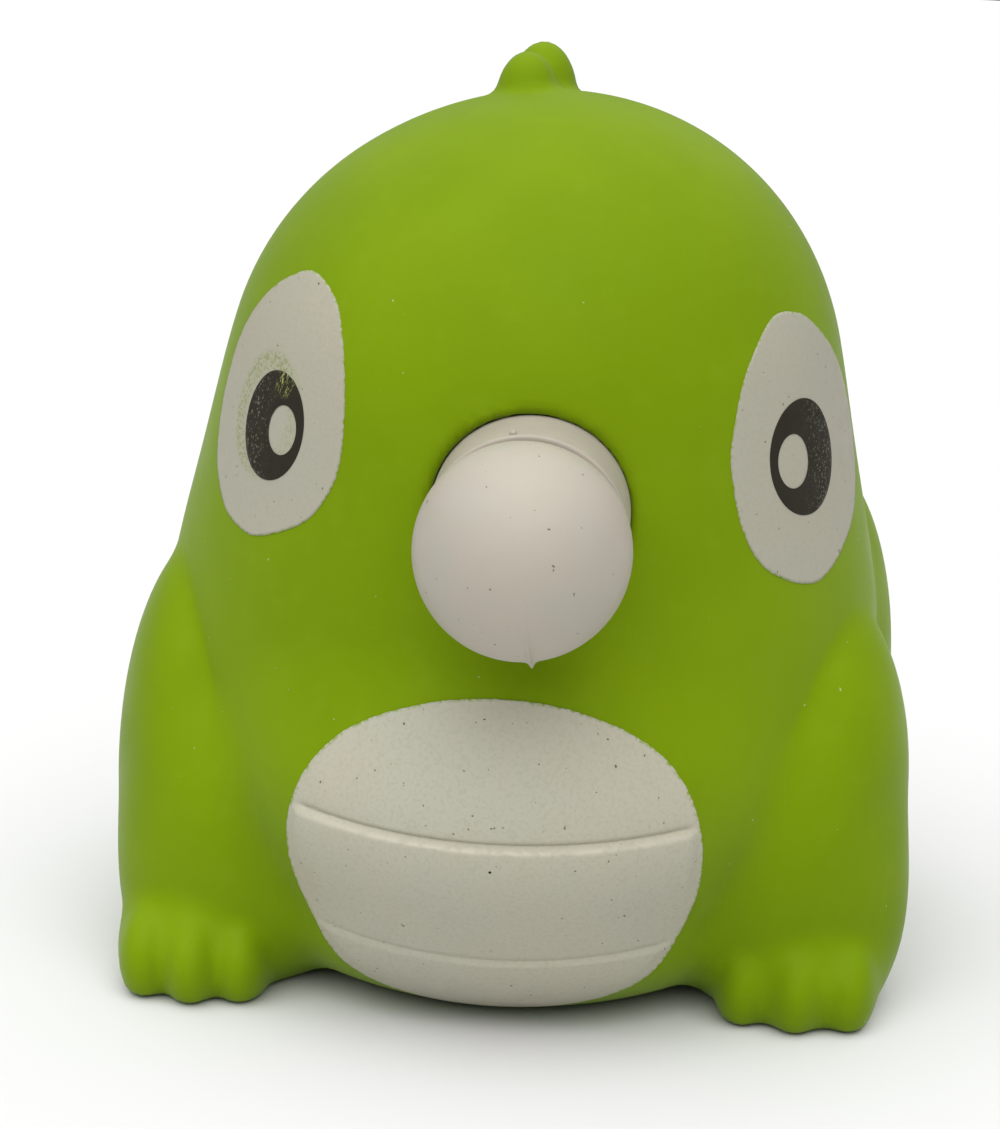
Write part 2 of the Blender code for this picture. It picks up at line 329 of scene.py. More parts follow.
def mesh_object(name, points, faces, attributes=None):
    """A smooth-shaded object from points in millimetres and faces, each a row of point numbers."""
    mesh = bpy.data.meshes.new(name)
    mesh.from_pydata((points * MM).tolist(), [], [list(map(int, face)) for face in faces])
    for label, values in (attributes or {}).items():
        kind = "FLOAT" if values.ndim == 1 else "FLOAT_VECTOR"
        layer = mesh.attributes.new(label, kind, "POINT")
        layer.data.foreach_set("value" if values.ndim == 1 else "vector", values.astype(np.float32).ravel())
    mesh.validate()
    mesh.shade_smooth()
    obj = bpy.data.objects.new(name, mesh)
    bpy.context.scene.collection.objects.link(obj)
    return obj


SKIN_MARGIN = 3.0                     # room around the frame's box


def build_skin():
    low = in_mm(cad_low) - SKIN_MARGIN
    high = in_mm(cad_high) + SKIN_MARGIN
    axes = [np.arange(a, b, SKIN_STEP) for a, b in zip(low, high)]
    values = grid_values(sunk_field, axes)
    points, number = net_vertices(values, axes)
    points = settle(sunk_field, points)
    return mesh_object("body_skin", points, net_faces(values, number))


# ---------------------------------------------------------------- paint films

def closed_curve(knots, place):
    """A smooth closed curve through evenly timed knots, read at places counted in knots."""
    knots = np.array(knots, float)
    base = np.floor(place).astype(int)
    t = (place - base).reshape(place.shape + (1,) * (knots.ndim - 1))
    p0, p1, p2, p3 = [knots[(base + shift) % len(knots)] for shift in (-1, 0, 1, 2)]
    return 0.5 * (2 * p1 + (p2 - p0) * t + (2 * p0 - 5 * p1 + 4 * p2 - p3) * t ** 2
                  + (3 * p1 - p0 - 3 * p2 + p3) * t ** 3)


RAGGED_WAVES = (23, 41, 67, 97, 139)


def ragged(angles, size, seed):
    """A small uneven wobble around a closed outline, as a spray mask leaves."""
    draw = np.random.default_rng(seed)
    total = np.zeros(angles.shape)
    for wave in RAGGED_WAVES:
        total += np.sin(angles * wave + draw.uniform(0, 2 * math.pi)) * draw.uniform(0.5, 1)
    return total * size / math.sqrt(len(RAGGED_WAVES))


def march(field, start, direction, reach, sign=1):
    """Walks from each start to the field's surface: from outside it, or with sign -1 from inside it."""
    travelled = np.zeros(start.shape[:-1])
    for _ in range(MARCH_ROUNDS):
        value = field(start + direction * travelled[..., None])
        travelled = np.minimum(travelled + value * MARCH_CARE * sign, reach)
    return start + direction * travelled[..., None]


def film_mesh(name, top, bottom, attributes):
    """A closed film from rings of points, each from the middle out: its face, and its back in the vinyl."""
    rings = np.concatenate([top, bottom[::-1]])
    return mesh_object(name, rings.reshape(-1, 3), ring_faces(*rings.shape[:2]), attributes)


# Eyes: middle of the white, the way it faces, and flat outlines as sideways and up from that middle. The
# seed is for the uneven edge.
EYE_LIFT = 0.10
EYE_SPOKES = 260
EYE_RINGS = 44
EYE_RAGGED = 0.0014                   # how uneven the white's edge is, as a share of its size
EYE_START = 0.004                     # size of the white's innermost ring, as a share of its outline
RING_LIFT = 0.17
RING_SPOKES = 160
RING_RINGS = 14
EYE_AHEAD = 12.0                      # marches to the skin start this far out
EYE_REACH = 40.0
FILM_SINK = 0.5                       # how deep a film's back lies in the vinyl
EYES = {
    "left": {
        "centre": (35.9, -21.7, 78.7), "bearing": 53.6, "rise": 4.7,
        "outline": ((3.2, 17.6), (-2.3, 17.0), (-8.0, 11.1), (-10.8, 3.9), (-11.5, -1.7), (-9.7, -10.0),
                    (-5.3, -15.5), (3.5, -17.9), (12.0, -13.6), (17.8, -8.2), (20.6, 0.2), (16.7, 8.7),
                    (8.6, 15.4)),
        "ring": (2.1, -1.15), "ring_half": (7.2, 7.65), "hole": (-0.4, -1.45), "hole_half": (3.2, 3.55),
        "seed": 5,
    },
    "right": {
        "centre": (-30.5, -27.3, 81.9), "bearing": -43.3, "rise": 6.0,
        "outline": ((-0.7, 17.5), (5.4, 14.3), (8.9, 8.3), (10.5, 1.7), (10.9, -4.7), (9.7, -9.7),
                    (5.8, -14.5), (-2.0, -17.6), (-6.9, -17.0), (-11.0, -14.9), (-15.4, -9.7), (-17.2, -3.5),
                    (-17.0, 2.0), (-15.3, 7.4), (-11.2, 12.6), (-6.3, 16.0)),
        "ring": (-1.8, -2.9), "ring_half": (6.2, 7.2), "hole": (0.35, -3.2), "hole_half": (2.75, 3.25),
        "seed": 9,
    },
}


def eye_frame(eye):
    """Middle, sideways, upward and outward directions of an eye."""
    bearing = math.radians(eye["bearing"])
    rise = math.radians(eye["rise"])
    out = np.array((math.sin(bearing) * math.cos(rise), -math.cos(bearing) * math.cos(rise), math.sin(rise)))
    side = np.cross((0, 0, 1), out)
    side /= np.linalg.norm(side)
    return np.array(eye["centre"], float), side, np.cross(out, side), out


def oval(middle, half, count):
    angles = np.arange(count) / count * 2 * math.pi
    return np.array(middle) + np.stack([np.cos(angles) * half[0], np.sin(angles) * half[1]], -1)


def laid(eye, flat, lift):
    """Places flat eye coordinates on the skin, standing lift above it."""
    middle, side, up, out = eye_frame(eye)
    start = middle + flat[..., 0:1] * side + flat[..., 1:2] * up + out * EYE_AHEAD
    on_skin = march(skin_field, start, -out, EYE_REACH)
    return on_skin + slope(skin_field, on_skin) * lift


def eye_film(name, eye, inner, outer, rings, lift):
    """A film between two closed outlines; inner is a small loop where the film has no hole."""
    share = np.linspace(0, 1, rings)[:, None, None]
    flat = inner + (outer - inner) * share
    coarse = [0, rings // 2, -1]
    top = laid(eye, flat, lift)
    back = laid(eye, flat[coarse], -FILM_SINK)
    place = (flat - np.array(eye["ring"])) / np.array(eye["ring_half"])
    edge = np.broadcast_to(share[..., 0], flat.shape[:2])
    places = np.concatenate([place, place[coarse][::-1]])
    places = np.concatenate([places, np.zeros(places.shape[:2] + (1,))], -1).reshape(-1, 3)
    edges = np.concatenate([edge, edge[coarse][::-1]]).ravel()
    return film_mesh(name, top, back, {"ring_place": places, "edge": edges})


def build_eye(side):
    eye = EYES[side]
    share = np.arange(EYE_SPOKES) / EYE_SPOKES
    outline = closed_curve(eye["outline"], share * len(eye["outline"]))
    if side == "left":
        outline = outline[::-1]
    middle = outline.mean(0)
    wobble = ragged(share * 2 * math.pi, EYE_RAGGED, eye["seed"])
    outline = middle + (outline - middle) * (1 + wobble[:, None])
    start = middle + (outline - middle) * EYE_START
    white = eye_film("eye_white_paint_" + side, eye, start, outline, EYE_RINGS, EYE_LIFT)
    hole = oval(eye["hole"], eye["hole_half"], RING_SPOKES)
    ring = oval(eye["ring"], eye["ring_half"], RING_SPOKES)
    black = eye_film("eye_ring_paint_" + side, eye, hole, ring, RING_RINGS, RING_LIFT)
    return white, black


BELLY_LIFT = 0.16
BELLY_SUNK = 0.9                      # the skin drops this far under the belly paint, which carries the folds
BELLY_SUNK_RAMP = (0.02, 0.09)        # from the paint's edge inwards, in radians
BELLY_RINGS = 136
BELLY_BACK_RINGS = [0, 20, 45, 70, 95, 115, BELLY_RINGS - 1]
BELLY_SPOKES = 500
BELLY_RAGGED = 0.0016
BELLY_SEED = 3
BELLY_START = 0.006                   # size of the paint's innermost ring, as a share of its outline
BELLY_INSIDE = 12.0                   # marches to the skin start this far from the belly's middle
BELLY_REACH = 60.0
# Angle off straight ahead of the paint's edge, in degrees, from the toy's left up and round.
BELLY_KNOTS = (48.6, 44.3, 38.2, 35.7, 37.9, 44.3, 49.4, 55.3, 57.2, 58.5, 57.0, 55.8)


def belly_direction(turn, reach):
    """Direction from the belly's middle: turn runs from the toy's left up and round, reach is the angle off
    straight ahead."""
    side = np.cos(turn) * np.sin(reach)
    up = np.sin(turn) * np.sin(reach)
    return np.stack([side, -np.cos(reach), up], -1)


def belly_reach(turn):
    """Angle off straight ahead of the paint's edge, at each turn."""
    return np.radians(closed_curve(BELLY_KNOTS, turn / (2 * math.pi) * len(BELLY_KNOTS)))


def belly_depth(points):
    """How far inside the paint's edge each point lies, in radians: negative outside."""
    offset = points - BELLY_MIDDLE
    turn = np.arctan2(offset[..., 2], offset[..., 0])
    reach = np.arctan2(np.hypot(offset[..., 0], offset[..., 2]), -offset[..., 1])
    return belly_reach(turn) - reach


def sunk_field(points):
    """The skin as meshed: it drops a little under the belly paint."""
    return skin_field(points) + BELLY_SUNK * ramp(belly_depth(points), *BELLY_SUNK_RAMP)


def build_belly():
    turn = np.arange(BELLY_SPOKES) / BELLY_SPOKES * 2 * math.pi
    edge = belly_reach(turn) + ragged(turn, BELLY_RAGGED, BELLY_SEED)
    share = np.linspace(BELLY_START, 1, BELLY_RINGS)[:, None]
    reach = share * edge[None]
    direction = belly_direction(np.broadcast_to(turn, reach.shape), reach)
    start = BELLY_MIDDLE + direction * BELLY_INSIDE
    on_skin = march(folded_field, start, direction, BELLY_REACH, sign=-1)
    top = on_skin + slope(folded_field, on_skin) * BELLY_LIFT
    behind = on_skin[BELLY_BACK_RINGS]
    back = behind - slope(skin_field, behind) * (BELLY_SUNK + FILM_SINK)
    edges = np.broadcast_to(share, reach.shape)
    edges = np.concatenate([edges, edges[BELLY_BACK_RINGS][::-1]]).ravel()
    lip = np.concatenate([fold_lip(top), np.zeros(back.shape[:2])]).ravel()
    return film_mesh("belly_paint", top, back, {"edge": edges, "lip": lip})


# ---------------------------------------------------------------- turned pieces

def across_axis(axis):
    """Two directions square to the axis, the first nearly upright."""
    side = np.cross(axis, (0, 0, 1))
    side /= np.linalg.norm(side)
    return np.cross(side, axis), side


def turned(origin, axis, profile, steps):
    """Points and faces of a closed ring, turned round the axis from a loop of (radius, place along it)."""
    up, side = across_axis(axis)
    turn = np.arange(steps) / steps * 2 * math.pi
    around = np.cos(turn)[:, None] * up + np.sin(turn)[:, None] * side
    profile = np.array(profile, float)
    points = origin + profile[:, 1][:, None, None] * axis + profile[:, 0][:, None, None] * around[None]
    return points.reshape(-1, 3), ring_faces(len(profile), steps, closed=True)


NUB_RINGS = 9                         # of a small sphere, between its poles
NUB_SPOKES = 16


def small_sphere(centre, radius):
    """Points and faces of a small sphere: its top, its rings from there down, and its bottom."""
    falls = np.arange(1, NUB_RINGS + 1) / (NUB_RINGS + 1) * math.pi
    turns = np.arange(NUB_SPOKES) / NUB_SPOKES * 2 * math.pi
    fall, turn = np.meshgrid(falls, turns, indexing="ij")
    rings = np.stack([-np.sin(fall) * np.sin(turn), np.sin(fall) * np.cos(turn), np.cos(fall)], -1)
    points = centre + radius * np.concatenate([[(0, 0, 1)], rings.reshape(-1, 3), [(0, 0, -1)]])
    first = np.arange(1, NUB_SPOKES + 1)
    last = first + (NUB_RINGS - 1) * NUB_SPOKES
    bottom = len(points) - 1
    faces = list(ring_faces(NUB_RINGS, NUB_SPOKES) + 1)
    faces += [(0, here, there) for here, there in zip(first, np.roll(first, -1))]
    faces += [(bottom, there, here) for here, there in zip(last, np.roll(last, -1))]
    return points, faces


def rounded(corners, steps=6):
    """Rounds each corner of a closed outline: (x, y, radius) to points."""
    made = []
    count = len(corners)
    for i, (x, y, radius) in enumerate(corners):
        here = np.array((x, y), float)
        if radius == 0:
            made.append(here)
            continue
        before = np.array(corners[i - 1][:2], float) - here
        after = np.array(corners[(i + 1) % count][:2], float) - here
        before /= np.linalg.norm(before)
        after /= np.linalg.norm(after)
        for t in np.linspace(0, 1, steps):
            made.append(here + before * radius * (1 - t) ** 2 + after * radius * t ** 2)
    return made


BARREL_RADIUS = 12.7
BARREL_BORE = 10.4
BARREL_LIP = 6.8
BARREL_SEAT = 1.35                    # chamfer of the rim around the ball
BARREL_SEAT_DEPTH = 2.8
BARREL_RIB = 1.6                      # how far the ball's stop rib stands into the bore
BARREL_REAR = -22.0
BARREL_STEPS = 160
GATE_TURN = math.radians(9.5)         # nub of the collar's own gate, turned from the top to the toy's right
GATE_RADIUS = 0.52
GATE_BACK = 1.0                       # the nub's distance behind the front edge


def build_barrel():
    """Collar with a rolled front edge, a chamfered seat for the ball, and a bore with a stop rib."""
    outline = rounded((
        (BARREL_RADIUS, BARREL_LIP, 0.55),
        (BARREL_BORE + BARREL_SEAT, BARREL_LIP, 0.2),
        (BARREL_BORE, BARREL_LIP - BARREL_SEAT_DEPTH, 0.5),
        (BARREL_BORE, -9.0, 0.3),
        (BARREL_BORE - BARREL_RIB, -9.4, 0.3),
        (BARREL_BORE - BARREL_RIB, -10.8, 0.3),
        (BARREL_BORE, -11.2, 0.3),
        (BARREL_BORE, BARREL_REAR, 0.3),
        (BARREL_RADIUS - 0.2, BARREL_REAR, 0.4),
        (BARREL_RADIUS, -6.0, 0.3),
    ))
    points, faces = turned(MOUTH, COLLAR_AXIS, outline, BARREL_STEPS)
    up, side = across_axis(COLLAR_AXIS)
    out = up * math.cos(GATE_TURN) + side * math.sin(GATE_TURN)
    gate = MOUTH + COLLAR_AXIS * (BARREL_LIP - GATE_BACK) + out * BARREL_RADIUS
    nub_points, nub_faces = small_sphere(gate, GATE_RADIUS)
    faces = list(faces) + [np.array(face) + len(points) for face in nub_faces]
    return mesh_object("mouth_collar", np.concatenate([points, nub_points]), faces)


BALL_GATE = np.array((0.145, -0.22, -1.0))    # towards the nub of the ball's gate
BALL_SEAM = np.array((1.0, 0.04, 0.14))       # square to the mould line, near enough
BALL_POLE = 0.004                             # angle of the smallest rings, at the gate and opposite it
FLASH_HALF = 0.28
FLASH_HEIGHT = 0.50                           # of the mould line, close to the gate
FLASH_LEAST = 0.06                            # share of that height left all round
FLASH_FADE = (1.35, 0.15)                     # angles from the gate where the line starts and is full
NUB_HEIGHT = 0.32
NUB_HALF = 0.60


def build_ball():
    """Foam ball with a mould line all round and the nub of its gate underneath."""
    down = BALL_GATE / np.linalg.norm(BALL_GATE)
    across = np.cross(down, BALL_SEAM)
    across /= np.linalg.norm(across)
    square = np.cross(across, down)
    even = np.linspace(0, 2 * math.pi, 97)[:-1]
    fine = np.radians(np.linspace(-3, 3, 25))
    turns = np.unique(np.concatenate([even, fine % (2 * math.pi), fine + math.pi]).round(6))
    near = NUB_HALF * 4 / BALL_RADIUS
    falls = np.concatenate([np.linspace(BALL_POLE, near, 16), np.linspace(near, math.pi - BALL_POLE, 96)[1:]])
    fall, turn = np.meshgrid(falls, turns, indexing="ij")
    offset = np.abs(np.sin(turn)) * np.sin(fall) * BALL_RADIUS
    grown = FLASH_LEAST + (1 - FLASH_LEAST) * ramp(fall, *FLASH_FADE)
    flash = FLASH_HEIGHT * np.exp(-(offset / FLASH_HALF) ** 2) * grown
    nub = NUB_HEIGHT * np.exp(-((fall * BALL_RADIUS / NUB_HALF) ** 2))
    radius = BALL_RADIUS + flash + nub
    out = (np.cos(fall)[..., None] * down + np.sin(fall)[..., None]
           * (np.cos(turn)[..., None] * across + np.sin(turn)[..., None] * square))
    points = BALL_CENTRE + out * radius[..., None]
    outwards = np.roll(ring_faces(*fall.shape)[:, ::-1], 1, 1)
    return mesh_object("foam_ball", points.reshape(-1, 3), outwards)


# ---------------------------------------------------------------- materials

def new_material(name, colour, roughness):
    made = bpy.data.materials.new(name)
    made.use_nodes = True
    shader = made.node_tree.nodes["Principled BSDF"]
    shader.inputs["Base Color"].default_value = (*colour, 1)
    shader.inputs["Roughness"].default_value = roughness
    return made, made.node_tree, shader


def add_node(tree, kind, **settings):
    made = tree.nodes.new(kind)
    for label, value in settings.items():
        setattr(made, label, value)
    return made


def noise(tree, scale, detail=2.0, roughness=0.5):
    """Noise value over the object's own coordinates; scale counts features per metre."""
    place = add_node(tree, "ShaderNodeTexCoord")
    made = add_node(tree, "ShaderNodeTexNoise")
    made.inputs["Scale"].default_value = scale
    made.inputs["Detail"].default_value = detail
    made.inputs["Roughness"].default_value = roughness
    tree.links.new(place.outputs["Object"], made.inputs["Vector"])
    return made.outputs["Fac"]


def remap(tree, value, low, high, to_low=0.0, to_high=1.0):
    made = add_node(tree, "ShaderNodeMapRange", interpolation_type="SMOOTHSTEP")
    made.inputs["From Min"].default_value = low
    made.inputs["From Max"].default_value = high
    made.inputs["To Min"].default_value = to_low
    made.inputs["To Max"].default_value = to_high
    tree.links.new(value, made.inputs["Value"])
    return made.outputs["Result"]


def combine(tree, operation, a, b):
    made = add_node(tree, "ShaderNodeMath", operation=operation)
    for socket, value in zip(made.inputs, (a, b)):
        if isinstance(value, (int, float)):
            socket.default_value = value
        else:
            tree.links.new(value, socket)
    return made.outputs["Value"]


def times(tree, a, b):
    return combine(tree, "MULTIPLY", a, b)


def blend_colour(tree, amount, first, second):
    """Mixes two colours, each a tuple or another node's output."""
    made = add_node(tree, "ShaderNodeMix", data_type="RGBA")
    tree.links.new(amount, made.inputs["Factor"])
    for label, value in (("A", first), ("B", second)):
        socket = [s for s in made.inputs if s.name == label and s.type == "RGBA"][0]
        if isinstance(value, tuple):
            socket.default_value = (*value, 1)
        else:
            tree.links.new(value, socket)
    return [s for s in made.outputs if s.type == "RGBA"][0]


def add_bump(tree, shader, layers):
    """Chains bump layers: (height value, distance in metres, strength)."""
    previous = None
    for height, distance, strength in layers:
        made = add_node(tree, "ShaderNodeBump")
        made.inputs["Distance"].default_value = distance
        made.inputs["Strength"].default_value = strength
        tree.links.new(height, made.inputs["Height"])
        if previous:
            tree.links.new(previous, made.inputs["Normal"])
        previous = made.outputs["Normal"]
    tree.links.new(previous, shader.inputs["Normal"])


def specks(tree, scale, low, high):
    """Sparse small spots: 1 in a spot, 0 between them."""
    return remap(tree, noise(tree, scale, 1.0, 0.3), low, high)


VINYL = (0.168, 0.268, 0.0013)
VINYL_DEEP = (0.150, 0.245, 0.0009)
VINYL_PALE = (0.182, 0.281, 0.007)
VINYL_DUST = (0.37, 0.42, 0.22)


def vinyl_material():
    made, tree, shader = new_material("green_vinyl_finish", VINYL, 0.52)
    broad = remap(tree, noise(tree, 32, 2.0), 0.35, 0.65)
    colour = blend_colour(tree, broad, VINYL, VINYL_DEEP)
    cloudy = remap(tree, noise(tree, 240, 3.0), 0.50, 0.80, 0.0, 0.35)
    colour = blend_colour(tree, cloudy, colour, VINYL_PALE)
    dust = specks(tree, 1500, 0.825, 0.85)
    colour = blend_colour(tree, dust, colour, VINYL_DUST)
    tree.links.new(colour, shader.inputs["Base Color"])
    tree.links.new(remap(tree, noise(tree, 120, 3.0), 0.3, 0.7, 0.47, 0.58), shader.inputs["Roughness"])
    shader.inputs["Specular IOR Level"].default_value = 0.05
    shader.inputs["Sheen Weight"].default_value = 0.09
    shader.inputs["Sheen Roughness"].default_value = 0.4
    add_bump(tree, shader, (
        (noise(tree, 90, 2.0), 0.0004, 0.25),
        (noise(tree, 2600, 2.0), 0.00003, 0.5),
    ))
    return made


BELLY_PAINT = (0.432, 0.421, 0.342)
EYE_PAINT = (0.366, 0.354, 0.288)
PAINT_WARMTH = (1.035, 1.005, 0.99)
PAINT_DIRTY = (0.30, 0.30, 0.20)
PAINT_SPECK = (0.12, 0.12, 0.07)
# Paler paint for the upper fold's lip: a painted highlight where the roll catches the light, together with
# rubbed paint.
PAINT_LIP_HIGHLIGHT_AND_RUB = (0.59, 0.545, 0.46)
GHOST_HAZE = (0.30, 0.33, 0.17)
GHOST = (0.17, 0.21, 0.05)
GHOST_SHIFT = (0.30, -0.14)           # how far the ghost lies from its ring, in ring half sizes


def attribute(tree, label, output):
    made = add_node(tree, "ShaderNodeAttribute", attribute_name=label)
    return made.outputs[output]


def ring_place(tree):
    """Sideways and upward place on an eye, from the ring's middle, in ring half sizes."""
    split = add_node(tree, "ShaderNodeSeparateXYZ")
    tree.links.new(attribute(tree, "ring_place", "Vector"), split.inputs["Vector"])
    return split.outputs["X"], split.outputs["Y"]


def length(tree, a, b):
    squares = combine(tree, "ADD", times(tree, a, a), times(tree, b, b))
    return combine(tree, "SQRT", squares, 0.0)


def paint_material(name, base, lip_highlight_and_rub=False, smudged=False):
    """Matte sprayed paint with a fine mottle, a few dark specks and a thin worn edge.

    Paint with the lip highlight is paler along the lip of the upper fold: a painted highlight where the roll
    catches the light, together with rubbed paint.
    Smudged paint has the speckled ghost of a ring printed a little out of place.
    """
    made, tree, shader = new_material(name, base, 0.6)
    warm = tuple(value * share for value, share in zip(base, PAINT_WARMTH))
    colour = blend_colour(tree, remap(tree, noise(tree, 60, 2.0), 0.35, 0.65), base, warm)
    mottle = remap(tree, noise(tree, 1900, 3.0), 0.42, 0.72, 0.0, 0.26)
    colour = blend_colour(tree, mottle, colour, PAINT_DIRTY)
    spots = specks(tree, 1500, 0.775, 0.80)
    colour = blend_colour(tree, spots, colour, PAINT_SPECK)
    if lip_highlight_and_rub:
        # Painted highlight: the lip of the upper fold is made paler where the roll catches the light, mixed
        # with rubbed paint.
        patchy = remap(tree, noise(tree, 700, 3.0), 0.3, 0.6)
        lip = times(tree, attribute(tree, "lip", "Fac"), patchy)
        colour = blend_colour(tree, times(tree, lip, 0.60), colour, PAINT_LIP_HIGHLIGHT_AND_RUB)
    if smudged:
        across, up = ring_place(tree)
        radius = length(tree, combine(tree, "ADD", across, GHOST_SHIFT[0]),
                        combine(tree, "ADD", up, GHOST_SHIFT[1]))
        band = times(tree, remap(tree, radius, 0.62, 0.95), remap(tree, radius, 1.28, 1.08))
        side = remap(tree, combine(tree, "SUBTRACT", across, up), 1.6, -0.6, 0.12, 1.0)
        grain = remap(tree, noise(tree, 2300, 3.0), 0.47, 0.60)
        printed = times(tree, band, side)
        colour = blend_colour(tree, times(tree, printed, 0.30), colour, GHOST_HAZE)
        ghost = times(tree, printed, grain)
        colour = blend_colour(tree, times(tree, ghost, 0.55), colour, GHOST)
    edge = remap(tree, attribute(tree, "edge", "Fac"), 0.978, 1.0)
    broken = times(tree, edge, remap(tree, noise(tree, 1800, 2.0), 0.40, 0.70))
    colour = blend_colour(tree, broken, colour, VINYL)
    tree.links.new(colour, shader.inputs["Base Color"])
    tree.links.new(remap(tree, noise(tree, 300, 3.0), 0.3, 0.7, 0.5, 0.66), shader.inputs["Roughness"])
    shader.inputs["Specular IOR Level"].default_value = 0.15
    add_bump(tree, shader, (
        (noise(tree, 1800, 3.0), 0.00004, 0.5),
    ))
    return made


BLACK = (0.022, 0.019, 0.012)
BLACK_PINHOLE = (0.24, 0.23, 0.16)
BLACK_STREAK = (0.36, 0.40, 0.12)


def black_material(name, outward, streaked=False):
    """Matte black print with pale pinholes towards its outward side, 1 or -1.

    Streaked print is rubbed through in flecks along its top.
    """
    made, tree, shader = new_material(name, BLACK, 0.55)
    across, up = ring_place(tree)
    outer_side = remap(tree, across, -0.2 * outward, 0.7 * outward)
    pinholes = times(tree, specks(tree, 3000, 0.62, 0.68), outer_side)
    colour = blend_colour(tree, times(tree, pinholes, 0.5), BLACK, BLACK_PINHOLE)
    if streaked:
        turn = combine(tree, "ARCTAN2", across, up)
        radius = length(tree, across, up)
        fan = add_node(tree, "ShaderNodeCombineXYZ")
        tree.links.new(times(tree, turn, 20.0), fan.inputs["X"])
        tree.links.new(times(tree, radius, 5.0), fan.inputs["Y"])
        strands = add_node(tree, "ShaderNodeTexNoise")
        strands.inputs["Scale"].default_value = 1.0
        tree.links.new(fan.outputs["Vector"], strands.inputs["Vector"])
        window = times(tree, remap(tree, turn, -0.25, 0.12), remap(tree, turn, 0.72, 0.35))
        window = times(tree, window, remap(tree, radius, 0.50, 0.80))
        flecks = times(tree, remap(tree, strands.outputs["Fac"], 0.50, 0.60),
                       remap(tree, noise(tree, 2600, 2.0), 0.42, 0.52))
        streaks = times(tree, flecks, window)
        colour = blend_colour(tree, times(tree, streaks, 0.85), colour, BLACK_STREAK)
    tree.links.new(colour, shader.inputs["Base Color"])
    tree.links.new(remap(tree, noise(tree, 500, 2.0), 0.3, 0.7, 0.45, 0.65), shader.inputs["Roughness"])
    shader.inputs["Specular IOR Level"].default_value = 0.12
    add_bump(tree, shader, ((noise(tree, 2200, 2.0), 0.00003, 0.5),))
    return made


PLASTIC = (0.365, 0.328, 0.271)
PLASTIC_PALE = (0.376, 0.337, 0.278)
PLASTIC_DEEP = (0.354, 0.319, 0.266)


def plastic_material():
    made, tree, shader = new_material("white_plastic_finish", PLASTIC, 0.42)
    colour = blend_colour(tree, remap(tree, noise(tree, 150, 3.0), 0.35, 0.7), PLASTIC_PALE, PLASTIC_DEEP)
    tree.links.new(colour, shader.inputs["Base Color"])
    tree.links.new(remap(tree, noise(tree, 400, 2.0), 0.3, 0.7, 0.38, 0.5), shader.inputs["Roughness"])
    shader.inputs["Specular IOR Level"].default_value = 0.4
    add_bump(tree, shader, ((noise(tree, 900, 2.0), 0.00003, 0.4),))
    return made


FOAM = (0.405, 0.368, 0.308)
FOAM_WARM = (0.410, 0.370, 0.308)
FOAM_COOL = (0.396, 0.370, 0.314)
FOAM_SPECK = (0.16, 0.13, 0.09)


def foam_material():
    made, tree, shader = new_material("white_foam_finish", FOAM, 0.5)
    colour = blend_colour(tree, remap(tree, noise(tree, 110, 2.0), 0.35, 0.65), FOAM_WARM, FOAM_COOL)
    spots = specks(tree, 1500, 0.785, 0.805)
    colour = blend_colour(tree, spots, colour, FOAM_SPECK)
    tree.links.new(colour, shader.inputs["Base Color"])
    tree.links.new(remap(tree, noise(tree, 300, 2.0), 0.3, 0.7, 0.44, 0.58), shader.inputs["Roughness"])
    shader.inputs["Specular IOR Level"].default_value = 0.3
    add_bump(tree, shader, (
        (noise(tree, 260, 2.0), 0.0001, 0.25),
        (noise(tree, 2000, 3.0), 0.00004, 0.5),
    ))
    return made


FLOOR = (0.68, 0.68, 0.68)
FLOOR_HALF = 4.0                      # metres


def floor_material():
    made, _, shader = new_material("pale_floor", FLOOR, 0.8)
    shader.inputs["Specular IOR Level"].default_value = 0.1
    return made


def finish_with(obj, finish):
    obj.data.materials.clear()
    obj.data.materials.append(finish)


# ---------------------------------------------------------------- light, floor and camera

SKY_HORIZON = 0.07                    # brightness of the white dome, low and overhead
SKY_ZENITH = 1.22
KEY_BEARING = math.radians(-8)        # soft key light: bearing from straight ahead, rise, and width
KEY_RISE = math.radians(61)
KEY_SPREAD = math.radians(80)
KEY_STRENGTH = 2.38


def soft_sun(name, bearing, rise, spread, strength):
    """A wide, even light from far away."""
    data = bpy.data.lights.new(name, "SUN")
    data.energy = strength
    data.angle = spread
    obj = bpy.data.objects.new(name, data)
    ahead = Vector((math.sin(bearing) * math.cos(rise), -math.cos(bearing) * math.cos(rise), math.sin(rise)))
    obj.rotation_euler = (-ahead).to_track_quat("-Z", "Y").to_euler()
    obj.location = ahead
    bpy.context.scene.collection.objects.link(obj)


def set_stage():
    mesh = bpy.data.meshes.new("floor")
    corners = [(x * FLOOR_HALF, y * FLOOR_HALF, 0) for x, y in ((-1, -1), (1, -1), (1, 1), (-1, 1))]
    mesh.from_pydata(corners, [], [(0, 1, 2, 3)])
    floor = bpy.data.objects.new("floor", mesh)
    bpy.context.scene.collection.objects.link(floor)
    finish_with(floor, floor_material())
    world = bpy.data.worlds.new("studio")
    bpy.context.scene.world = world
    world.use_nodes = True
    tree = world.node_tree
    place = add_node(tree, "ShaderNodeTexCoord")
    split = add_node(tree, "ShaderNodeSeparateXYZ")
    tree.links.new(place.outputs["Generated"], split.inputs["Vector"])
    glow = remap(tree, split.outputs["Z"], 0.0, 1.0, SKY_HORIZON, SKY_ZENITH)
    tree.links.new(glow, tree.nodes["Background"].inputs["Strength"])
    tree.nodes["Background"].inputs["Color"].default_value = (1, 1, 1, 1)
    soft_sun("key", KEY_BEARING, KEY_RISE, KEY_SPREAD, KEY_STRENGTH)
    bpy.context.scene.view_settings.view_transform = "Standard"


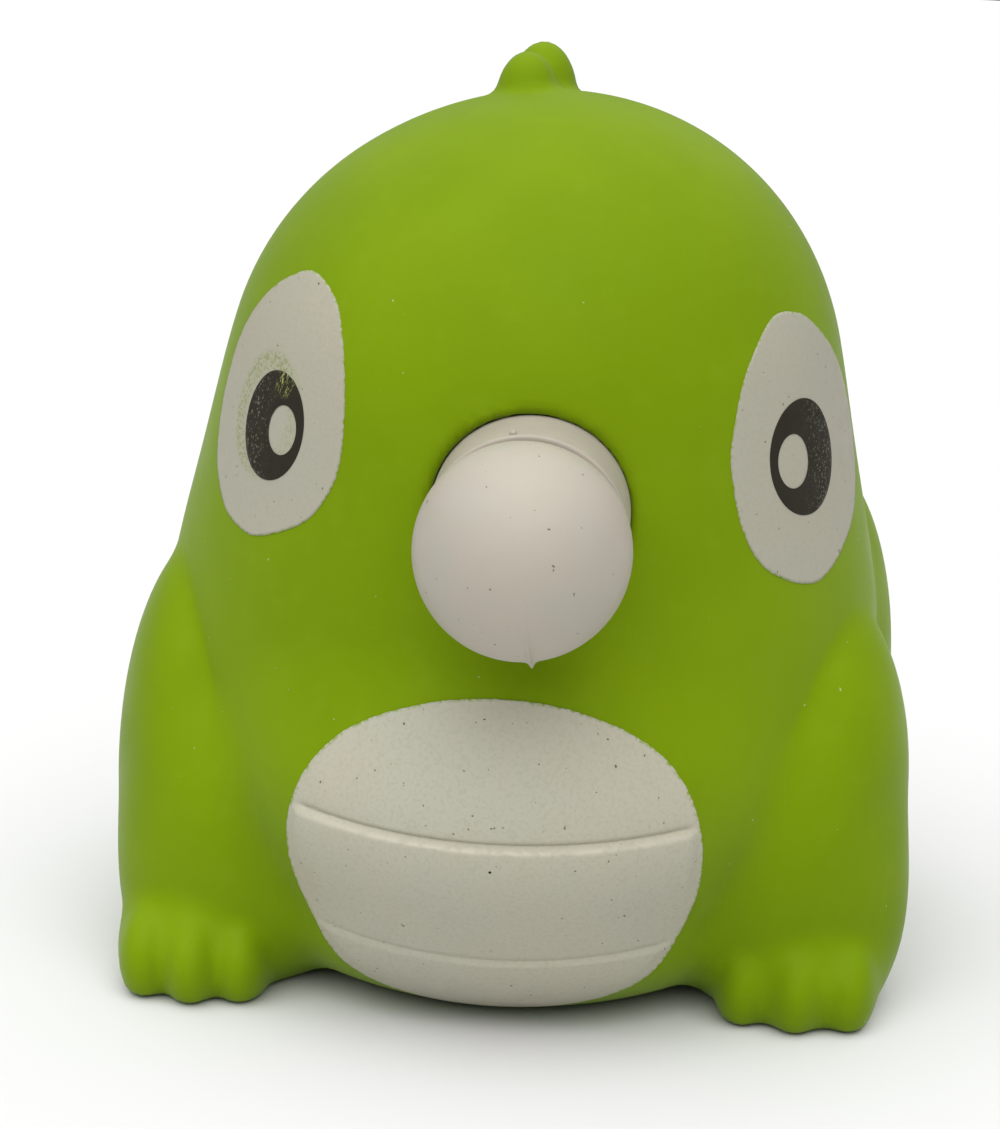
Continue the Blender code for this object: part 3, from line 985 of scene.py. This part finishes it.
# The camera looks from CAMERA_AWAY at a point beside the target, which sets the object off the middle.
CAMERA_TARGET = np.array((0.0, 0.0, 56.0))
CAMERA_AWAY = 420.0
CAMERA_BEARING = math.radians(3.5)
CAMERA_HEIGHT = math.radians(13)
CAMERA_ROLL = math.radians(2.5)
FOCAL_SHARE = 3.003                   # focal length, as a share of the picture's width
AIM_SIDE = -3.08                      # the picture's middle against the target
AIM_UP = 0.28
SENSOR_WIDTH = 36.0


def add_camera():
    back = np.array((
        math.sin(CAMERA_BEARING) * math.cos(CAMERA_HEIGHT),
        -math.cos(CAMERA_BEARING) * math.cos(CAMERA_HEIGHT),
        math.sin(CAMERA_HEIGHT),
    ))
    level = np.cross(-back, (0, 0, 1))
    level /= np.linalg.norm(level)
    upright = np.cross(level, -back)
    right = level * math.cos(CAMERA_ROLL) + upright * math.sin(CAMERA_ROLL)
    up = upright * math.cos(CAMERA_ROLL) - level * math.sin(CAMERA_ROLL)
    place = CAMERA_TARGET + back * CAMERA_AWAY
    aim = CAMERA_TARGET + right * AIM_SIDE + up * AIM_UP
    ahead = aim - place
    ahead /= np.linalg.norm(ahead)
    right = np.cross(ahead, up)
    right /= np.linalg.norm(right)
    up = np.cross(right, ahead)
    data = bpy.data.cameras.new("camera")
    data.sensor_fit = "HORIZONTAL"
    data.sensor_width = SENSOR_WIDTH
    data.lens = FOCAL_SHARE * SENSOR_WIDTH
    data.clip_start = 0.01
    data.dof.use_dof = False
    obj = bpy.data.objects.new("camera", data)
    matrix = np.identity(4)
    matrix[:3, 0] = right
    matrix[:3, 1] = up
    matrix[:3, 2] = -ahead
    matrix[:3, 3] = place * MM
    obj.matrix_world = Matrix(matrix.tolist())
    bpy.context.scene.collection.objects.link(obj)
    bpy.context.scene.camera = obj


# ---------------------------------------------------------------- assembly


def assemble():
    skin = build_skin()
    finish_with(skin, vinyl_material())
    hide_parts("body_shell", "belly_wall")
    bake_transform(skin)
    belly = build_belly()
    finish_with(belly, paint_material("belly_paint_finish", BELLY_PAINT, lip_highlight_and_rub=True))
    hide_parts("belly_patch")
    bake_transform(belly)
    for side in ("left", "right"):
        worn = side == "right"
        white, ring = build_eye(side)
        finish_with(white, paint_material("eye_paint_finish_" + side, EYE_PAINT, smudged=worn))
        finish_with(ring, black_material("black_paint_finish_" + side, -1 if worn else 1, streaked=worn))
        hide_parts("eye_white_" + side)
        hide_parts("eye_ring_" + side)
        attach(white, "body")
        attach(ring, "body")
    barrel = build_barrel()
    finish_with(barrel, plastic_material())
    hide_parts("mouth_barrel")
    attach(barrel, "body")
    ball = build_ball()
    finish_with(ball, foam_material())
    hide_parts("ball")
    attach(ball, "ball")


set_stage()
add_camera()
assemble()
